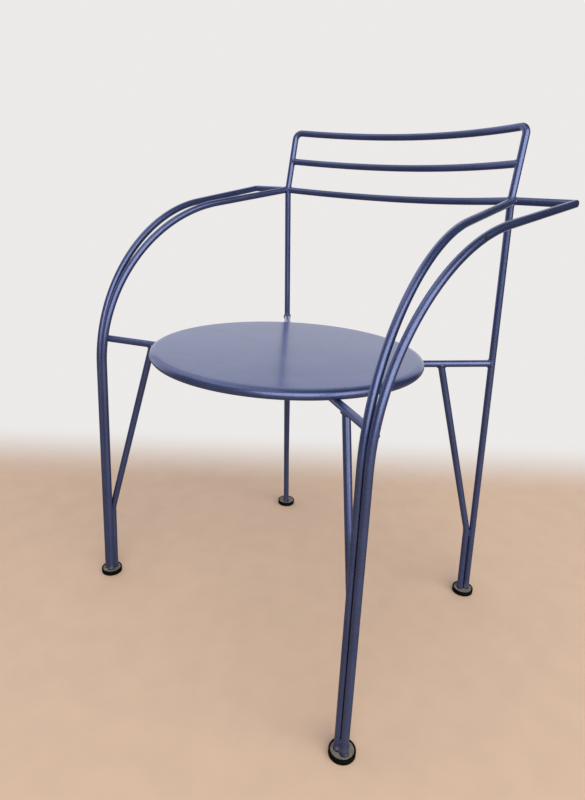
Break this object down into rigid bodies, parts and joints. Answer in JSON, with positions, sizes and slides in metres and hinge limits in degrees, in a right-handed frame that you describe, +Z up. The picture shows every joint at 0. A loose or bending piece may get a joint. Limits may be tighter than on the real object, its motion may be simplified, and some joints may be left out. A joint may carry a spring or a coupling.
{
  "type": "metal rod armchair",
  "caption": "Armchair of bent round steel rod with a round sheet seat, a low bowed back and rubber-cupped feet, in lightly worn blue-violet paint.",
  "frame": {"origin": "on the floor, under the middle of the chair's bounding box", "axes": "+Z up, -Y towards the front, +X towards the right as seen from the front"},
  "size_m": [0.6112, 0.485, 0.7708],
  "materials": {
    "paint": "satin metallic blue-violet paint with fine orange peel and a chip",
    "dusty_steel": "dull, dusty and worn",
    "rubber": "black, matte"
  },
  "bodies": {
    "root": {"back_frame": "paint", "middle_back_rail": "paint", "lower_back_rail": "paint", "seat": "paint", "left_corner_bar": "paint", "left_outer_arm": "paint", "left_inner_arm": "paint", "front_left_strut": "paint", "front_left_brace": "paint", "front_left_rubber_cup": "rubber", "front_left_foot_disc": "dusty_steel", "back_left_strut": "paint", "back_left_brace": "paint", "back_left_rubber_cup": "rubber", "back_left_foot_disc": "dusty_steel", "right_corner_bar": "paint", "right_outer_arm": "paint", "right_inner_arm": "paint", "front_right_strut": "paint", "front_right_brace": "paint", "front_right_rubber_cup": "rubber", "front_right_foot_disc": "dusty_steel", "back_right_strut": "paint", "back_right_brace": "paint", "back_right_rubber_cup": "rubber", "back_right_foot_disc": "dusty_steel"}
  },
  "joints": []
}
